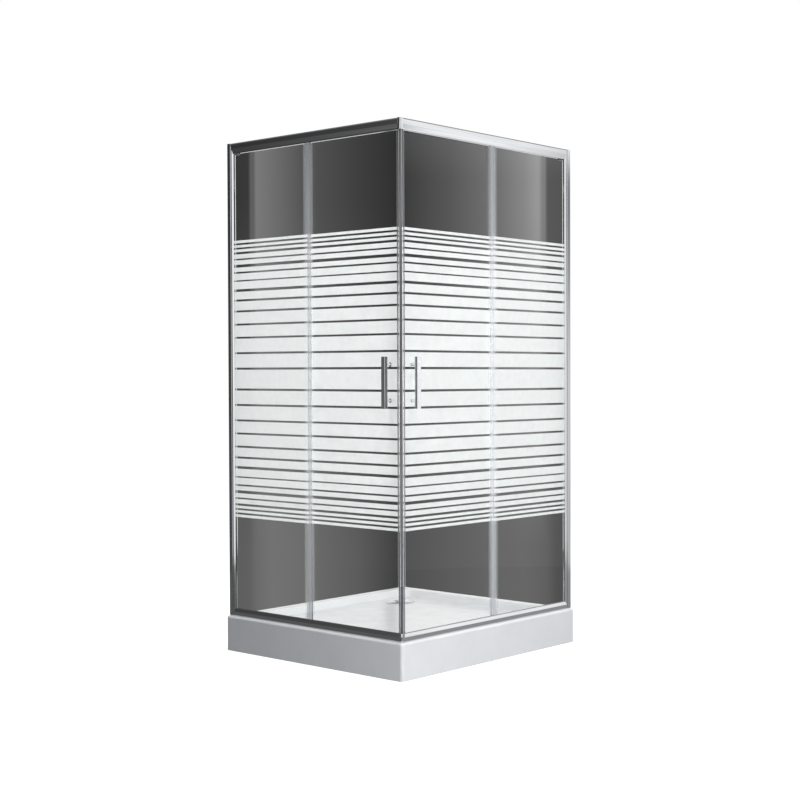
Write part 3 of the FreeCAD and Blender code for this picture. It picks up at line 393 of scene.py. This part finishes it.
# the angle is brought to the span that starts at the first direction
first = math.radians(dome["mirrored"][0][0])
turn = addNode(tree, "ShaderNodeMath", {0: turn, 1: 2 * math.pi - first}, operation="ADD")
turn = addNode(tree, "ShaderNodeMath", {0: turn.outputs[0], 1: 2 * math.pi}, operation="MODULO")
shown, before = None, 0
for direction, pairs in dome["mirrored"]:
    ramp = addNode(tree, "ShaderNodeValToRGB", {"Fac": share.outputs["Result"]})
    fillRamp(ramp, pairs, -90, 90)
    after = math.radians(direction) - first
    if shown is None:
        shown = ramp.outputs["Color"]
    else:
        step = addNode(tree, "ShaderNodeMapRange", {
            "Value": turn.outputs[0], "From Min": before, "From Max": after})
        shown = addNode(tree, "ShaderNodeMix", {
            0: step.outputs["Result"], 6: shown, 7: ramp.outputs["Color"]},
            data_type="RGBA").outputs[2]
    before = after
shine(tree, shown, dome["strength"])
rows, columns, size = dome["rows"], dome["columns"], dome["radius"]
points = [(0, 0, -size), (0, 0, size)]
for i in range(1, rows):
    tilt = math.pi * i / rows
    points += ring(size * math.sin(tilt), -size * math.cos(tilt), columns)
faces = []
last = 2 + (rows - 2) * columns
for j in range(columns):
    k = (j + 1) % columns
    faces += [(0, 2 + k, 2 + j), (1, last + j, last + k)]
    for start in range(2, last, columns):
        faces.append((start + j, start + k, start + columns + k, start + columns + j))
shell = addStage("mirroredSurround", points, faces, domeLook, "glossy")
shell.location = (0, 0, dome["middle"])

# a card on the floor that only reflections see: the low faces of the rails mirror it, and as the
# camera sees it, its grey goes over from left to right within reach of the middle
card = {"radius": 3, "height": 0.0004, "sides": 48, "reach": 0.4, "left": 86, "right": 142,
        "strength": 1.2}
cardLook, tree = newTree("floor card")
here = addNode(tree, "ShaderNodeTexCoord").outputs["Object"]
place = addNode(tree, "ShaderNodeSeparateXYZ", {0: here}).outputs
lean = addNode(tree, "ShaderNodeMath", {0: place["X"], 1: place["Y"]}, operation="ADD")
share = addNode(tree, "ShaderNodeMapRange", {
    "Value": lean.outputs[0], "From Min": -card["reach"], "From Max": card["reach"]})
shown = addNode(tree, "ShaderNodeMix", {
    0: share.outputs["Result"], 6: grey(card["left"]), 7: grey(card["right"])}, data_type="RGBA")
shine(tree, shown.outputs[2], card["strength"])
points = ring(card["radius"], card["height"], card["sides"])
addStage("floorCard", points, [tuple(range(card["sides"]))], cardLook, "glossy")
print("floor and surrounds set")

# soft light from all round, and white behind the object
sky = {"tint": "#f2f8ff", "strength": 0.17, "backdrop": 1}
world = bpy.data.worlds.new("studio")
world.use_nodes = True
bpy.context.scene.world = world
tree = world.node_tree
tree.nodes.clear()
seen = addNode(tree, "ShaderNodeLightPath").outputs["Is Camera Ray"]
ambient = addNode(tree, "ShaderNodeBackground", {
    "Color": linear(sky["tint"]), "Strength": sky["strength"]})
backdrop = addNode(tree, "ShaderNodeBackground", {"Color": grey(255), "Strength": sky["backdrop"]})
shown = addNode(tree, "ShaderNodeMixShader", {0: seen, 1: ambient.outputs[0], 2: backdrop.outputs[0]})
addNode(tree, "ShaderNodeOutputWorld", {"Surface": shown.outputs[0]})

# square lamps, in metres, that all face one point
lamps = {
    "key": {"at": (4.6, -0.4, 1.1), "size": 3.0, "power": 133},
    "corner": {"at": (1.35, -1.75, 0.3), "size": 0.6, "power": 7},
    "front": {"at": (2.2, -4.6, 2.4), "size": 1.6, "power": 25},
    "top": {"at": (0.2, -0.2, 4.4), "size": 0.8, "power": 104},
    "behindLeft": {"at": (-0.4, 4.6, 0.6), "size": 2.4, "power": 60},
    "behindRight": {"at": (-4.6, 0.4, 0.6), "size": 2.4, "power": 36}}
lampsFace = Vector((0, 0, 0.9))
for name, values in lamps.items():
    lamp = bpy.data.lights.new(name, "AREA")
    lamp.size = values["size"]
    lamp.energy = values["power"]
    thing = bpy.data.objects.new(name, lamp)
    thing.location = values["at"]
    facing = lampsFace - Vector(values["at"])
    thing.rotation_euler = facing.to_track_quat("-Z", "Y").to_euler()
    bpy.context.scene.collection.objects.link(thing)
    showOnlyTo(thing, "diffuse")
print("lamps set")

# the camera stands where the photograph was taken from; the shift is the photograph's crop, and
# focal, centre and side are in its pixels
sight = {"at": (4.193, -4.1574, 1.1148), "turn": 38.165, "tilt": -1.06, "roll": -0.0757,
         "focal": 1433.8, "centre": 580, "side": 800, "sensor": 36}
lens = bpy.data.cameras.new("camera")
lens.sensor_width = sight["sensor"]
lens.lens = sight["focal"] / sight["side"] * lens.sensor_width
lens.shift_x = (sight["side"] / 2 - sight["centre"]) / sight["side"]
camera = bpy.data.objects.new("camera", lens)
turned = (Matrix.Rotation(math.radians(sight["turn"]), 4, "Z")
          @ Matrix.Rotation(math.radians(90 + sight["tilt"]), 4, "X")
          @ Matrix.Rotation(math.radians(sight["roll"]), 4, "Z"))
camera.matrix_world = Matrix.Translation(sight["at"]) @ turned
bpy.context.scene.collection.objects.link(camera)
bpy.context.scene.camera = camera
bpy.context.scene.view_settings.view_transform = "Standard"
print("camera set")
